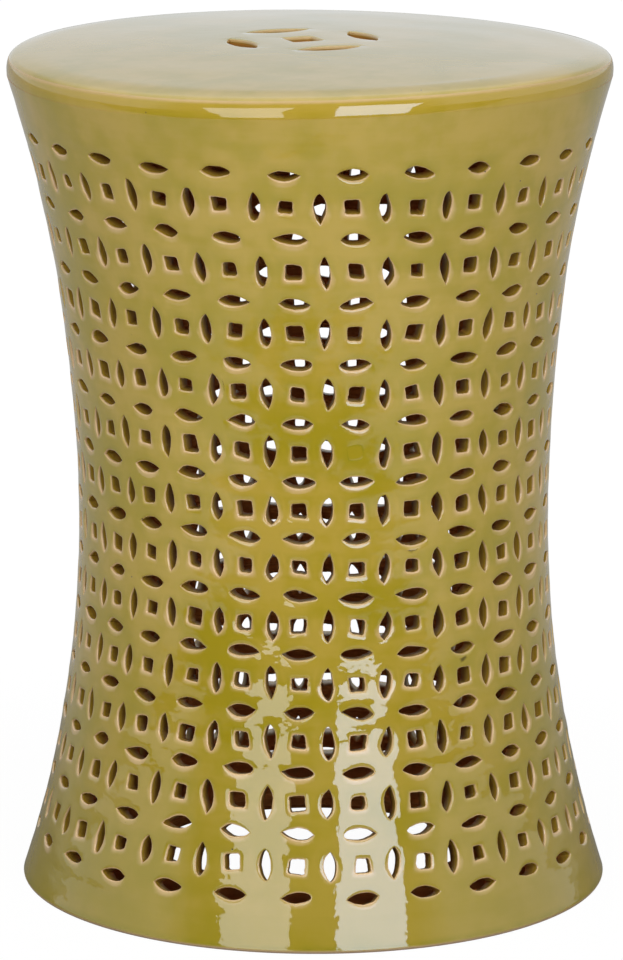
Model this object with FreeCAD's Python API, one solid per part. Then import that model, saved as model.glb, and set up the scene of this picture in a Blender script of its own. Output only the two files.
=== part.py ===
"""Pierced ceramic garden stool: an hourglass wall of coin fretwork between a domed seat and a flanged foot.

Millimetres, +Z up. The origin is on the floor, under the centre of the seat. The front is -Y, and one
column of squares faces it. The stool is in the pieces that a potter lutes together before the firing: the
pierced wall stands on the foot, the seat lies on the wall, and a coil of clay is pressed into each inside
corner.
"""

import FreeCAD
import Part
import math
import os

from FreeCAD import Placement, Rotation, Vector

# Outer form
overall_height = 460.0  # floor to the crown of the seat
base_radius = 160.0  # of the outline at the floor
waist_radius = 127.5  # where the outline is narrowest
waist_height = 204.0
shoulder_radius = 161.5  # of the wall where the seat lies on it

# Wall
wall_thickness = 9.0

# Seat
seat_thickness = 11.0
crown_rise = 6.5  # of the seat's middle over its rim
seat_corner_radius = 166.0  # of the sharp corner that the rim's rounding takes off
rim_rounding = 6.0
seat_land_width = 14.0  # flat part of the underside, from the wall's inner face inwards

# Foot
foot_joint_height = 19.0  # floor to the joint between the foot and the wall
flange_thickness = 11.0
foot_opening_radius = 88.0
foot_rim_width = 20.0  # of the ring that the stool stands on
foot_rounding = 2.5
lip_rounding = 3.0

# Coils of clay in the inside corners
seat_coil_height = 12.0
seat_coil_width = 12.0
foot_coil_height = 3.0  # stays under the lowest holes
foot_coil_width = 8.0
coil_hollow = 0.15  # how far a coil's face is pressed in, as a share of its height

# Coin fretwork: each coin has a square in its middle and shares the four leaves round it with its neighbours
columns = 27
rows = 12  # of squares, with one more row of lying leaves
plain_band_low = 9.2  # from the foot's joint up to the lowest lying leaves
plain_band_high = 30.3  # from the highest lying leaves up to the seat's joint
closest_row = 4.2  # the rows are closest together here, counted from 0 at the bottom
row_spreading = 0.0033  # growth of the step from row to row, times the square of the distance from that row
leaf_length = 17.0
leaf_width = 6.4
square_side = 8.0
blind_row = 7  # one square is only pressed in: its row, counted from 0 at the bottom
blind_column = 1  # and its column, counted to the right of the front one
blind_depth = 1.2

# Single coin cut through the seat, which is also the grip
seat_coin_pitch = 70.0  # between the middles of opposite leaves
seat_leaf_length = 36.5
seat_leaf_width = 12.5
seat_square_side = 16.5
seat_coin_turn = 26.7  # degrees anticlockwise, seen from above

# Allowances
cutter_margin = 4.0  # how far a cutter reaches past the faces that it cuts
rim_rounding_limit = 0.6  # largest rounding, as a share of the seat's thickness
lip_rounding_limit = 0.4  # the same for the flange
touch = 0.001  # points closer than this are the same

# Worked out from the sizes above
rim_height = overall_height - crown_rise
seat_joint_height = rim_height - seat_thickness
lattice_bottom = foot_joint_height + plain_band_low
lattice_top = seat_joint_height - plain_band_high
cell_angle = 360.0 / columns
front_angle = -90.0
axis = Vector(0, 0, 1)
origin = Vector(0, 0, 0)


def profile_point(radius, height):
    return Vector(radius, 0, height)


def line(start, end):
    return Part.makeLine(start, end)


def arc(start, middle, end):
    return Part.Arc(start, middle, end).toShape()


def turned(edges, angle=360.0):
    """Solid that a closed profile sweeps about the stool's axis."""
    wire = Part.Wire(Part.__sortEdges__(edges))
    return Part.Face(wire).revolve(origin, axis, angle)


def rounded(solid, radius, rims):
    """Rounds the circular edges that pass through the given points of the profile."""
    edges = [
        edge
        for edge in solid.Edges
        if edge.isClosed() and any(edge.Vertexes[0].Point.distanceToPoint(rim) < touch for rim in rims)
    ]
    return solid.makeFillet(radius, edges)


def arc_radius(run, rise):
    """Radius of an arc that leaves a line at a tangent and is off it by rise after run."""
    return (run**2 + rise**2) / (2 * rise)


lower_arc = arc_radius(waist_height, base_radius - waist_radius)
upper_arc = arc_radius(seat_joint_height - waist_height, shoulder_radius - waist_radius)


def outline_arc(height):
    """Radius of the outline's arc at a height: two arcs meet upright at the waist."""
    return lower_arc if height < waist_height else upper_arc


def wall_radius(height, depth=0.0):
    """Radius of the stool's outside at a height, or of the surface that lies depth inside it."""
    bend = outline_arc(height)
    return waist_radius + bend - math.sqrt((bend + depth) ** 2 - (height - waist_height) ** 2)


def wall_lean(height):
    """Degrees by which the wall leans out at a height: less than zero under the waist."""
    return math.degrees(math.asin((height - waist_height) / outline_arc(height)))


def wall_point(height, depth=0.0):
    return profile_point(wall_radius(height, depth), height)


def wall_profile(low, high, depth=0.0):
    """Arcs of the outline, or of the line depth inside it, between two heights."""
    heights = [low, waist_height, high] if low < waist_height < high else [low, high]
    return [
        arc(wall_point(start, depth), wall_point((start + end) / 2, depth), wall_point(end, depth))
        for start, end in zip(heights, heights[1:])
    ]


def leaf_outline(length, width):
    """Pointed leaf along X, of two equal arcs."""
    tip = Vector(length / 2, 0, 0)
    side = Vector(0, width / 2, 0)
    return Part.Wire([arc(tip * -1, side, tip), arc(tip, side * -1, tip * -1)])


def square_outline(side):
    half = side / 2
    corners = [Vector(x, y, 0) for x, y in ((-half, -half), (half, -half), (half, half), (-half, half))]
    return Part.makePolygon(corners + corners[:1])


def cutter(outline, depth):
    """Prism from depth under an outline's plane to the margin over it."""
    prism = Part.Face(outline).extrude(axis * (depth + cutter_margin))
    prism.translate(axis * -depth)
    return prism


def on_wall(tool, height, angle):
    """Sets a tool square to the outside: its X runs round the stool, its Y up and its Z out."""
    facing_out = Rotation(Vector(0, 1, 0), axis, Vector(1, 0, 0), "ZXY")
    lean = Rotation(Vector(0, 1, 0), wall_lean(height))
    seat = Placement(wall_point(height), lean * facing_out)
    placed = tool.copy()
    placed.Placement = Placement(origin, Rotation(axis, angle)) * seat * tool.Placement
    return placed


def lattice_heights():
    """Heights of the rows of lying leaves, and of the rows of squares half-way between them."""
    steps = [1 + row_spreading * (row - closest_row) ** 2 for row in range(rows)]
    unit = (lattice_top - lattice_bottom) / sum(steps)
    leaves = [lattice_bottom + unit * sum(steps[:row]) for row in range(rows + 1)]
    squares = [(low + high) / 2 for low, high in zip(leaves, leaves[1:])]
    return leaves, squares


def through_wall(outline):
    return cutter(outline, wall_thickness + cutter_margin)


def lying_leaves(column):
    leaf = through_wall(leaf_outline(leaf_length, leaf_width))
    return [on_wall(leaf, height, column * cell_angle) for height in lattice_heights()[0]]


def standing_leaves(column):
    """The leaves on the left of a column."""
    leaf = through_wall(leaf_outline(leaf_length, leaf_width))
    leaf.rotate(origin, axis, 90)
    return [on_wall(leaf, height, (column - 0.5) * cell_angle) for height in lattice_heights()[1]]


def wall_wedges():
    """One column of the wall: with every square cut through, and with one blind. The ends of a wedge lie
    between the tips of its lying leaves and the standing leaves beside them."""
    waist_cell = 2 * math.pi * waist_radius / columns
    clay_middle = (leaf_length + waist_cell - leaf_width) / 4
    right_end = cell_angle * clay_middle / waist_cell
    low, high = foot_joint_height, seat_joint_height
    section = wall_profile(low, high) + wall_profile(low, high, wall_thickness)
    section += [line(wall_point(height), wall_point(height, wall_thickness)) for height in (low, high)]
    wedge = turned(section, cell_angle)
    wedge.rotate(origin, axis, right_end - cell_angle)
    outline = square_outline(square_side)
    squares = [on_wall(through_wall(outline), height, 0) for height in lattice_heights()[1]]
    last_square = squares.pop(blind_row)
    blind_square = on_wall(cutter(outline, blind_depth), lattice_heights()[1][blind_row], 0)
    leaves = lying_leaves(-1) + lying_leaves(0) + standing_leaves(0) + standing_leaves(1)
    wedge = wedge.cut(leaves + squares)
    return wedge.cut(last_square), wedge.cut(blind_square)


def open_faces(wedge):
    """The faces of a wedge without its ends, which lie in planes through the axis."""
    faces = []
    for face in wedge.Faces:
        is_flat = isinstance(face.Surface, Part.Plane)
        is_upright = is_flat and abs(face.Surface.Axis.z) < touch
        if not (is_upright and abs(face.Surface.Position * face.Surface.Axis) < touch):
            faces.append(face)
    return faces


def pierced_wall():
    """All columns side by side, sewn into one wall."""
    plain, with_blind = [open_faces(wedge) for wedge in wall_wedges()]
    skin = []
    for column in range(columns):
        for face in with_blind if column == blind_column else plain:
            placed = face.copy()
            placed.rotate(origin, axis, front_angle + column * cell_angle)
            skin.append(placed)
    sheet = Part.Compound(skin)
    sheet.sewShape(touch)
    return Part.Solid(Part.Shell(sheet.Faces))


def dome_arc(radius, crown, fall):
    """Arc from a crown on the axis, level there, down to a radius."""
    bend = arc_radius(radius, fall)
    half_angle = math.asin(radius / bend) / 2
    middle = profile_point(bend * math.sin(half_angle), crown - bend * (1 - math.cos(half_angle)))
    return arc(profile_point(0, crown), middle, profile_point(radius, crown - fall))


def seat_coin_cutters():
    """The leaves and the square of the seat's coin, as upright prisms."""
    depth = crown_rise + seat_thickness + cutter_margin
    leaf = cutter(leaf_outline(seat_leaf_length, seat_leaf_width), depth)
    leaf.translate(Vector(0, seat_coin_pitch / 2, overall_height))
    tools = [cutter(square_outline(seat_square_side), depth)]
    tools[0].translate(axis * overall_height)
    for quarter in range(4):
        tools.append(leaf.copy())
        tools[-1].rotate(origin, axis, 90 * quarter)
    for tool in tools:
        tool.rotate(origin, axis, seat_coin_turn)
    return tools


def seat_top():
    """Domed slab with a rounded rim, flat underneath where it lies on the wall."""
    land_radius = wall_radius(seat_joint_height, wall_thickness) - seat_land_width
    outer_joint = wall_point(seat_joint_height)
    corner = profile_point(seat_corner_radius, rim_height)
    under_crown = overall_height - seat_thickness
    slab = turned(
        [
            dome_arc(seat_corner_radius, overall_height, crown_rise),
            line(corner, outer_joint),
            line(outer_joint, profile_point(land_radius, seat_joint_height)),
            dome_arc(land_radius, under_crown, crown_rise),
            line(profile_point(0, under_crown), profile_point(0, overall_height)),
        ]
    )
    slab = rounded(slab, min(rim_rounding, rim_rounding_limit * seat_thickness), [corner])
    return slab.cut(seat_coin_cutters())


def foot_ring():
    """Foot with an inward flange. Its underside is hollowed, so that it stands on its outer rim."""
    flange_under = foot_joint_height - flange_thickness
    rim_inside = base_radius - foot_rim_width
    outer_foot = wall_point(0)
    inner_foot = profile_point(rim_inside, 0)
    upper_lip = profile_point(foot_opening_radius, foot_joint_height)
    lower_lip = profile_point(foot_opening_radius, flange_under)
    hollow_corner = profile_point(rim_inside, flange_under)
    ring = turned(
        wall_profile(0, foot_joint_height)
        + [
            line(wall_point(foot_joint_height), upper_lip),
            line(upper_lip, lower_lip),
            line(lower_lip, hollow_corner),
            line(hollow_corner, inner_foot),
            line(inner_foot, outer_foot),
        ]
    )
    ring = rounded(ring, foot_rounding, [outer_foot, inner_foot, hollow_corner])
    return rounded(ring, min(lip_rounding, lip_rounding_limit * flange_thickness), [upper_lip, lower_lip])


def corner_coil(joint_height, height, width):
    """Coil of clay in the corner between the wall's inside and a level face. Height is up or, if less than
    zero, down from the joint."""
    wall_end = wall_point(joint_height + height, wall_thickness)
    corner = wall_point(joint_height, wall_thickness)
    inner_end = corner - Vector(width, 0, 0)
    middle = (wall_end + inner_end) * 0.5
    pressed = middle + (corner - middle) * coil_hollow
    low, high = sorted((joint_height, joint_height + height))
    return turned(
        wall_profile(low, high, wall_thickness)
        + [
            line(corner, inner_end),
            arc(inner_end, pressed, wall_end),
        ]
    )


pieces = {
    "seat_top": seat_top(),
    "pierced_wall": pierced_wall(),
    "foot_ring": foot_ring(),
    "seat_joint_coil": corner_coil(seat_joint_height, -seat_coil_height, seat_coil_width),
    "foot_joint_coil": corner_coil(foot_joint_height, foot_coil_height, foot_coil_width),
}

os.makedirs("parts", exist_ok=True)
for name, piece in pieces.items():
    piece.exportStep(f"parts/{name}.step")
    print(name, "valid" if piece.isValid() else "not valid", len(piece.Solids), "solid", round(piece.Volume))
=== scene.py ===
import math

import bpy
import numpy as np
from mathutils import Matrix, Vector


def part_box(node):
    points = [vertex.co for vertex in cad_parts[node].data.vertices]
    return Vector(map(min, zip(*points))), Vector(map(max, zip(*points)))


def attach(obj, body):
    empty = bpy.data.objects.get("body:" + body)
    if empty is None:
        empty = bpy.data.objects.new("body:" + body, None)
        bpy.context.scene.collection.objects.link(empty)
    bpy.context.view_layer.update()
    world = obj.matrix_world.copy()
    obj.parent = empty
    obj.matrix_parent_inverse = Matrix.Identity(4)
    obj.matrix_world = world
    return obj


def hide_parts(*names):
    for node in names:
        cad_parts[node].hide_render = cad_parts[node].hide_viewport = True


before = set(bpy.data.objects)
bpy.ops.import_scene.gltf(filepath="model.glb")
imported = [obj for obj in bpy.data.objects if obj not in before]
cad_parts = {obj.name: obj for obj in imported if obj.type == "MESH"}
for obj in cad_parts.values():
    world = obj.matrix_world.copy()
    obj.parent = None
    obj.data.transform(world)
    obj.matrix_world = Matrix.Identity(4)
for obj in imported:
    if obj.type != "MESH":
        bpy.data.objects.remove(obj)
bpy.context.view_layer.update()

# Ceramic garden stool: dresses the clay pieces in their glaze. Lengths are in millimetres until a mesh is made.
# Angles run round the stool from the front, -Y, to the right, and heights run up from the floor.

metre = 1000.0
chance = np.random.default_rng(27)


def millimetres(node):
    low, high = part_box(node)
    return np.array(low) * metre, np.array(high) * metre


wallBox, seatBox = millimetres("pierced_wall"), millimetres("seat_top")

form = {
    "waistRadius": 127.5,
    "waistHeight": 204.0,
    "baseRadius": 160.0,
    "shoulderRadius": 161.5,
    "wall": 9.0,
    "footJoint": wallBox[0][2],
    "seatJoint": wallBox[1][2],
    "seatRadius": seatBox[1][0],
    "height": seatBox[1][2],
    # where the wall departs from its two arcs: how far out, height and span
    "departures": [(0.45, 446.0, 34.0), (-0.6, 347.0, 38.0), (-0.2, 115.0, 60.0)],
    # waves of the surface: how many, times round the stool, length up it
    "swells": (6, (2, 6), (120, 400)),
    "handMarks": (26, (5, 22), (24, 90)),
    "turningRings": (5, (0, 3), (11, 26)),
    "handDepth": 0.11,
    "swellShare": 1.6,
    "ringDepth": 0.046,
    "lean": (1.5, -0.9),  # to the right at the waist, and to the left at the seat
    "leanAngle": 3.4,
    "leanEnds": (175.0, 440.0),
    "rimWarp": (1.3, 0.6),  # the rim is high at the right in front and, less so, at the left behind
    "warpEnds": (395.0, 443.0),
}


def eased(value, start, end):
    # 0 at the start to 1 at the end, level at both: three times the share's square less twice its cube
    share = np.clip((value - start) / (end - start), 0, 1)
    return share**2 * (3 - 2 * share)


def arcRadius(run, rise):
    # radius of an arc that starts level and rises this far over that run
    return (run**2 + rise**2) / (2 * rise)


# The outline is two arcs that meet upright at the waist
lowerArc = arcRadius(form["waistHeight"], form["baseRadius"] - form["waistRadius"])
upperArc = arcRadius(form["seatJoint"] - form["waistHeight"], form["shoulderRadius"] - form["waistRadius"])


def bendAt(z):
    return np.where(z < form["waistHeight"], lowerArc, upperArc)


def outlineRadius(z):
    # distance from the axis: arcs that bulge inwards, and a bell curve for each departure
    bend = bendAt(z)
    radius = form["waistRadius"] + bend - np.sqrt(bend**2 - (z - form["waistHeight"]) ** 2)
    for out, height, span in form["departures"]:
        radius = radius + out * np.exp(-(((z - height) / span) ** 2))
    return radius


def outlineLean(z):
    # angle of the outline from upright, outwards above the waist
    return np.arcsin((z - form["waistHeight"]) / bendAt(z))


def leaned(points):
    # the pot sideways, and the rim's warp: the sine of twice the angle, by the square of the radius
    low, high = form["lean"]
    move = low + (high - low) * eased(points[:, 2], *form["leanEnds"])
    aim = math.radians(form["leanAngle"])
    x, y = points[:, 0] / form["seatRadius"], points[:, 1] / form["seatRadius"]
    warp, more = form["rimWarp"]
    warp = -2 * x * y * (warp - more * y) * eased(points[:, 2], *form["warpEnds"])
    return points + np.stack([move * math.cos(aim), move * math.sin(aim), warp], -1)


def waveSum(waves, angle, z):
    # sum of sines, each with a whole number of waves round the stool and a wavelength up it
    total = np.zeros(np.broadcast(angle, z).shape)
    for height, around, wavelength, phase in waves:
        total += height * np.sin(around * angle + 2 * math.pi * z / wavelength + phase)
    return total


def drawWaves(count, around, wavelength):
    return [
        (
            1 / math.sqrt(count),
            int(chance.integers(*around)) * chance.choice((-1, 1)),
            chance.uniform(*wavelength) * chance.choice((-1, 1)),
            chance.uniform(0, 2 * math.pi),
        )
        for _ in range(count)
    ]


swells, handMarks, turningRings = (drawWaves(*form[name]) for name in ("swells", "handMarks", "turningRings"))


def unevenness(angle, z):
    # how far the surface stands out: slow swells, the marks of hands, and faint rings
    marks = form["swellShare"] * waveSum(swells, angle, z) + waveSum(handMarks, angle, z)
    return form["handDepth"] * marks + form["ringDepth"] * waveSum(turningRings, angle, z)


def aroundAxis(radius, angle, z):
    return np.stack(np.broadcast_arrays(radius * np.sin(angle), -radius * np.cos(angle), z), -1)


def onOutline(angle, z, depth):
    # point at a depth under the outside, measured square to it
    lean = outlineLean(z)
    return aroundAxis(outlineRadius(z) - depth * np.cos(lean), angle, z + depth * np.sin(lean))


# Mesh tools. Quads count from the first point of their own block


def ringQuads(block):
    # quads between each ring of points and the next, for one strip of rings or several
    index = np.arange(block[..., 0].size).reshape((-1,) + block.shape[-3:-1])
    outer, inner = index[:, :-1], index[:, 1:]
    return np.stack([outer, np.roll(outer, -1, 2), np.roll(inner, -1, 2), inner], -1).reshape(-1, 4)


def gridQuads(block):
    # quads of open grids: rows run up, columns to the right
    index = np.arange(block[..., 0].size).reshape((-1,) + block.shape[-3:-1])
    quads = [index[:, :-1, :-1], index[:, :-1, 1:], index[:, 1:, 1:], index[:, 1:, :-1]]
    return np.stack(quads, -1).reshape(-1, 4)


def capQuads(first, count):
    # closes a ring with a strip across it
    rungs = range(count // 2 - 1)
    return np.array([[first + i, first + i + 1, first + count - 2 - i, first + count - 1 - i] for i in rungs])


def turnedOver(quads, isTurned):
    return quads[:, ::-1] if isTurned else quads


def rotated(points, turn):
    c, s = np.cos(turn), np.sin(turn)
    return np.stack([points[..., 0] * c - points[..., 1] * s, points[..., 0] * s + points[..., 1] * c], -1)


class Shell:
    # the points, quads and masks of one piece, gathered block by block
    def __init__(self, *masks):
        self.points, self.quads, self.count = [], [], 0
        self.masks = {mask: [] for mask in masks}

    def add(self, block, quads, **values):
        self.points.append(block.reshape(-1, 3))
        self.quads.append(quads + self.count)
        for mask, parts in self.masks.items():
            parts.append(np.broadcast_to(values.get(mask, 0.0), block.shape[:-1]).reshape(-1))
        self.count += block[..., 0].size


def newObject(name, data):
    made = bpy.data.objects.new(name, data)
    bpy.context.collection.objects.link(made)
    return made


keysPerMillimetre, keyOffset = 2000, 0.3137


def makePiece(name, shell, materials, node, crease=50):
    # twins on the seams between blocks are joined, so that the mesh has no open edges
    points = leaned(np.concatenate(shell.points))
    keys = np.round(points * keysPerMillimetre + keyOffset).astype(np.int64)
    _, first, twin = np.unique(keys, axis=0, return_index=True, return_inverse=True)
    faces = []
    for corners in twin.reshape(-1)[np.concatenate(shell.quads)].tolist():
        ring = [corner for i, corner in enumerate(corners) if corner != corners[i - 1]]
        if len(ring) > 2:
            faces.append(ring)
    mesh = bpy.data.meshes.new(name)
    mesh.from_pydata((points[first] / metre).tolist(), [], faces)
    masks = {mask: np.concatenate(parts).astype(np.float32)[first] for mask, parts in shell.masks.items()}
    for mask, values in masks.items():
        mesh.attributes.new(mask, "FLOAT", "POINT").data.foreach_set("value", values)
    mesh.shade_smooth()
    if crease:
        mesh.set_sharp_from_angle(angle=math.radians(crease))
    for material in materials:
        mesh.materials.append(material)
    if len(materials) > 1:
        # the second material takes the faces whose mask "bare" is set all round
        isBare = [int(min(masks["bare"][corner] for corner in ring) > 0.5) for ring in faces]
        mesh.polygons.foreach_set("material_index", isBare)
    piece = newObject(name, mesh)
    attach(piece, "root")
    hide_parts(node)
    print(name, len(mesh.vertices), "points", len(mesh.polygons), "faces")


# Node tools


def nodeGroup(name, inputs, outputs):
    # inputs by the value they start from, outputs by their kind
    group = bpy.data.node_groups.new(name, "ShaderNodeTree")
    for label, value in inputs.items():
        kind = "NodeSocketColor" if isinstance(value, tuple) else "NodeSocketFloat"
        group.interface.new_socket(label, in_out="INPUT", socket_type=kind).default_value = value
    for label, kind in outputs.items():
        group.interface.new_socket(label, in_out="OUTPUT", socket_type="NodeSocket" + kind)
    return group, group.nodes.new("NodeGroupInput").outputs, group.nodes.new("NodeGroupOutput").inputs


def addNode(tree, kind, settings=None, **inputs):
    # inputs go by their socket's name, or by its place as i0, i1 and so on
    node = tree.nodes.new("ShaderNode" + kind)
    for key, value in (settings or {}).items():
        setattr(node, key, value)
    for key, value in inputs.items():
        socket = node.inputs[int(key[1:])] if key[0] == "i" and key[1:].isdigit() else node.inputs[key]
        if isinstance(value, bpy.types.NodeSocket):
            tree.links.new(value, socket)
        else:
            socket.default_value = value
    return node.outputs


def blend(tree, amount, first, second):
    return addNode(tree, "Mix", {"data_type": "RGBA"}, i0=amount, i6=first, i7=second)[2]


def calculate(tree, operation, first, second, clamp=False):
    return addNode(tree, "Math", {"operation": operation, "use_clamp": clamp}, i0=first, i1=second)[0]


def plus(tree, first, second, clamp=False):
    return calculate(tree, "ADD", first, second, clamp)


def times(tree, first, second):
    return calculate(tree, "MULTIPLY", first, second)


def ramp(tree, value, low, high, start=0.0, end=1.0):
    # start at low to end at high, eased at both ends
    steps = {"interpolation_type": "SMOOTHSTEP"}
    return addNode(tree, "MapRange", steps, i0=value, i1=low, i2=high, i3=start, i4=end)[0]


def noise(tree, position, scale, detail=2.0, rough=0.5):
    # a scale of three numbers stretches the pattern
    if isinstance(scale, tuple):
        position, scale = addNode(tree, "Mapping", Vector=position, Scale=scale)[0], 1.0
    return addNode(tree, "TexNoise", Vector=position, Scale=scale, Detail=detail, Roughness=rough)["Fac"]


def attribute(tree, name):
    return addNode(tree, "Attribute", {"attribute_name": name})["Fac"]


def bump(tree, height, relief):
    return addNode(tree, "Bump", Strength=1.0, Distance=relief, Height=height)[0]


def emptyTree(owner):
    owner.use_nodes = True
    owner.node_tree.nodes.clear()
    return owner.node_tree


def newMaterial(name):
    material = bpy.data.materials.new(name)
    return material, emptyTree(material)


def finish(tree, kind, **inputs):
    # the last shader, joined to the output
    addNode(tree, "OutputMaterial", Surface=addNode(tree, kind, **inputs)[0])


# Glaze

glaze = {
    "body": (0.392, 0.29, 0.014, 1),
    "light": (0.475, 0.335, 0.05, 1),
    "green": (0.29, 0.245, 0.008, 1),
    "deep": (0.29, 0.225, 0.01, 1),  # painted shade: the glaze is darker towards the floor, where less light reaches the base
    "baseShadeFrom": 0.24,  # metres over the floor
    "baseShadeShare": 0.5,
    "tan": (0.66, 0.45, 0.22, 1),
    "rimTan": (0.53, 0.355, 0.137, 1),
    "amber": (0.46, 0.315, 0.035, 1),
    "brown": (0.36, 0.22, 0.028, 1),
    "clay": (0.43, 0.16, 0.035, 1),
    "rawClay": (0.46, 0.31, 0.18, 1),
    "speck": (0.07, 0.05, 0.02, 1),
    # texture scales per metre
    "drifts": 19.0,
    "strokes": (9.0, 9.0, 90.0),
    "mottle": 90.0,
    "ripples": 95.0,
    "crumbs": 620.0,
    "pinholes": 75.0,
    "pinholeGroups": 31.0,
    "pinholeSize": (0.045, 0.02),
    "roughness": 0.035,
    "wornRoughness": 0.28,  # added where the glaze is thinnest
    "clayRoughness": 0.5,
    "rawRoughness": 0.6,
    "relief": 0.00035,
    "seatRelief": 0.0001,
    "density": 1.6,  # index of refraction
}


def glazeGroup():
    # two tones in cloudy drifts and level strokes, green where it pools, darker towards the floor as painted shade,
    # thin, tan and duller on edges, with a few pinholes
    inputs = {"Thin": 0.0, "Pool": 0.0, "Edge": glaze["tan"]}
    outputs = {"Color": "Color", "Roughness": "Float", "Height": "Float"}
    group, given, put = nodeGroup("glazeOverClay", inputs, outputs)
    place = addNode(group, "TexCoord")["Object"]
    cloud = noise(group, place, glaze["drifts"], 3.0, 0.6)
    strokes = noise(group, place, glaze["strokes"], 3.0, 0.6)
    mottle = noise(group, place, glaze["mottle"], 2.0, 0.6)
    drift = plus(group, times(group, cloud, 0.7), times(group, strokes, 0.3))
    drift = plus(group, times(group, drift, 0.8), times(group, mottle, 0.2))
    colour = blend(group, ramp(group, drift, 0.4, 0.6), glaze["body"], glaze["light"])
    pooled = times(group, given["Pool"], ramp(group, mottle, 0.2, 0.62))
    green = plus(group, pooled, times(group, ramp(group, cloud, 0.56, 0.36), 0.25), True)
    colour = blend(group, green, colour, glaze["green"])
    # painted shade: the glaze darkens towards the floor, as if less light reached the base
    height = addNode(group, "SeparateXYZ", i0=place)["Z"]
    deep = times(group, ramp(group, height, glaze["baseShadeFrom"], 0.0), glaze["baseShadeShare"])
    colour = blend(group, deep, colour, glaze["deep"])
    thin = ramp(group, plus(group, given["Thin"], times(group, mottle, 0.25)), 0.35, 1.0)
    colour = blend(group, thin, colour, given["Edge"])
    worn = ramp(group, thin, 0.6, 1.0)

    cells = addNode(group, "TexVoronoi", {"feature": "F1"}, Vector=place, Scale=glaze["pinholes"], Randomness=1.0)
    rare = calculate(group, "GREATER_THAN", noise(group, place, glaze["pinholeGroups"], 0.0), 0.66)
    pinhole = times(group, ramp(group, cells["Distance"], *glaze["pinholeSize"]), rare)
    colour = blend(group, pinhole, colour, glaze["speck"])
    relief = times(group, noise(group, place, glaze["ripples"], 2.0, 0.6), 0.5)
    relief = plus(group, relief, times(group, pinhole, -0.6))
    crumbs = times(group, noise(group, place, glaze["crumbs"], 1.0), times(group, worn, 0.5))
    relief = plus(group, relief, crumbs)
    roughness = plus(group, times(group, worn, glaze["wornRoughness"]), glaze["roughness"])
    for name, value in (("Color", colour), ("Roughness", roughness), ("Height", relief)):
        group.links.new(value, put[name])
    return group


glazeTree = glazeGroup()


def glazeMaterial(name, edge, relief):
    # glossy glaze that gives way to amber, brown, clay or raw clay, each by its mask
    material, tree = newMaterial(name)
    thin, pool, amber, clay, raw = (attribute(tree, mask) for mask in ("thin", "pool", "amber", "clay", "raw"))
    coat = addNode(tree, "Group", {"node_tree": glazeTree}, Thin=thin, Pool=pool, Edge=edge)
    colour = blend(tree, amber, coat["Color"], glaze["amber"])
    colour = blend(tree, ramp(tree, clay, 0.0, 0.55), colour, glaze["brown"])
    colour = blend(tree, ramp(tree, clay, 0.55, 1.0), colour, glaze["clay"])
    colour = blend(tree, raw, colour, glaze["rawClay"])
    roughness = plus(tree, coat["Roughness"], times(tree, clay, glaze["clayRoughness"]))
    roughness = plus(tree, roughness, times(tree, raw, glaze["rawRoughness"]), True)
    inputs = {"Base Color": colour, "Roughness": roughness, "Normal": bump(tree, coat["Height"], relief)}
    finish(tree, "BsdfPrincipled", IOR=glaze["density"], **inputs)
    return material


citronGlaze = glazeMaterial("citronGlaze", glaze["tan"], glaze["relief"])
seatCoat = glazeMaterial("seatCoat", glaze["rimTan"], glaze["seatRelief"])

insideClay = {
    "dark": (0.5, 0.165, 0.036, 1),
    "light": (0.64, 0.24, 0.06, 1),
    # painted highlight on the crests of the ridges
    "ridgeHighlight": (0.7, 0.32, 0.11, 1),
    "ridges": (9.0, 9.0, 520.0),  # texture scales per metre
    "grain": 700.0,
    "drifts": 22.0,
    "relief": 0.0012,
    "roughness": 0.8,
    "shine": 0.1,
}


def clayMaterial():
    # bare clay inside: dull, red-brown, with the ridges that a finger leaves, their crests painted lighter as a
    # painted highlight, and a fine grain
    material, tree = newMaterial("bareClay")
    place = addNode(tree, "TexCoord")["Object"]
    ridges = noise(tree, place, insideClay["ridges"])
    drift = ramp(tree, noise(tree, place, insideClay["drifts"], 3.0), 0.3, 0.7)
    colour = blend(tree, drift, insideClay["dark"], insideClay["light"])
    # painted highlight: the ridges' crests are lighter
    colour = blend(tree, ramp(tree, ridges, 0.5, 0.75), colour, insideClay["ridgeHighlight"])
    height = plus(tree, ridges, times(tree, noise(tree, place, insideClay["grain"], 3.0, 0.6), 0.15))
    inputs = {"Base Color": colour, "Specular IOR Level": insideClay["shine"]}
    relief = bump(tree, height, insideClay["relief"])
    finish(tree, "BsdfPrincipled", Roughness=insideClay["roughness"], Normal=relief, **inputs)
    return material


bareClay = clayMaterial()
print("materials made")


# Pierced wall. Each coin is one cell: a lying leaf under it, a square in its middle, a standing leaf on its
# right, and a plain patch where four coins meet

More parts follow.
